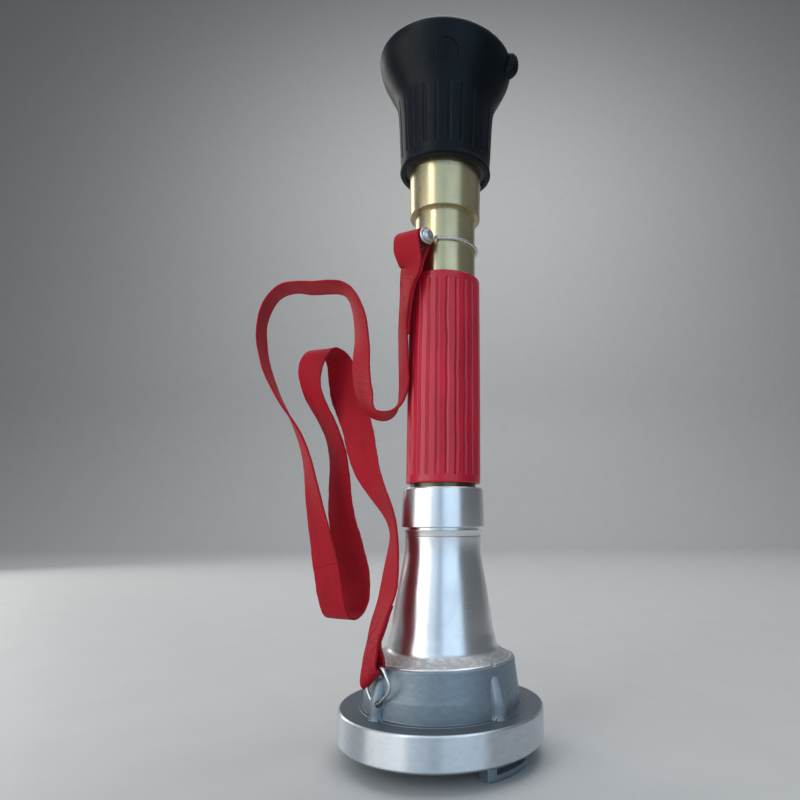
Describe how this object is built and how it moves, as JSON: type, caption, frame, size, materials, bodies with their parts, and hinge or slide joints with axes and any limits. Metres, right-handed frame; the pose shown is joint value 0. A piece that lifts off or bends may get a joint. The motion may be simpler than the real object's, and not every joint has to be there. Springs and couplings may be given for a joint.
{
  "type": "fire hose nozzle",
  "caption": "Hand-held fire hose nozzle: two-lug hose coupling, waisted cone, ribbed rubber grip, brass barrel, twist spray head in a flared rubber bumper, webbing strap.",
  "frame": {"origin": "centre of the hose coupling's face, where the mating coupling's face lands", "axes": "+Z along the waterway from the coupling to the spray head, -Y is the front, +X is to the right seen from the front"},
  "size_m": [0.1848, 0.112, 0.431],
  "materials": {
    "cast_grey": "cast and coated blue-grey, ring edge machined bright",
    "polished_aluminium": "turned and polished",
    "brass": "turned and polished",
    "black_anodised": "black anodised",
    "black_rubber": "moulded, soft sheen",
    "red_rubber": "moulded, satin",
    "seal_rubber": "matt",
    "red_webbing": "woven polyester webbing",
    "steel": "zinc plated",
    "white_ptfe": "smooth",
    "black_plastic": "moulded"
  },
  "bodies": {
    "root": {"lug_coupling": "cast_grey", "face_gasket": "seal_rubber", "hub_set_screw": "steel", "cone_body": "polished_aluminium", "cone_seal_ring": "seal_rubber", "lock_collar": "polished_aluminium", "barrel_tube": "brass", "barrel_seal_ring": "seal_rubber", "grip_sleeve": "red_rubber", "head_base": "brass", "base_seal_ring": "seal_rubber", "stem_spider": "brass", "flow_plug": "brass", "plug_seal": "seal_rubber", "plug_screw": "steel", "head_seal_ring": "seal_rubber", "strap_webbing": "red_webbing"},
    "head_carrier": {"head_wiper_ring": "white_ptfe"},
    "spray_head": {"head_sleeve": "black_anodised", "cam_pins": "steel", "bumper_cover": "black_rubber", "spray_teeth_ring": "black_plastic"},
    "strap_clamp": {"clamp_wire": "steel", "clamp_bolt": "steel", "clamp_nut": "steel", "clamp_spacer": "steel", "strap_upper_loop": "red_webbing"},
    "strap_ring": {"lower_wire_ring": "steel", "strap_lower_loop": "red_webbing"}
  },
  "joints": [
    {"name": "head_advance", "type": "slide", "parent": "root", "child": "head_carrier", "axis": [0, 0, 1], "range_m": [0, 0.0125]},
    {"name": "head_turn", "type": "hinge", "parent": "head_carrier", "child": "spray_head", "pos_m": [0, 0, 0.361], "axis": [0, 0, 1], "range_deg": [0, 225]},
    {"name": "clamp_swivel", "type": "hinge", "parent": "root", "child": "strap_clamp", "pos_m": [0, 0, 0.284], "axis": [0, 0, 1], "range_deg": [-25, 25]},
    {"name": "ring_swing", "type": "hinge", "parent": "root", "child": "strap_ring", "pos_m": [-0.03168, -0.03168, 0.02475], "axis": [0.7071, -0.7071, 0], "range_deg": [0, 30]}
  ],
  "couplings": [
    {"joint": "head_turn", "follows": "head_advance", "rad_per_m": 314.16}
  ]
}
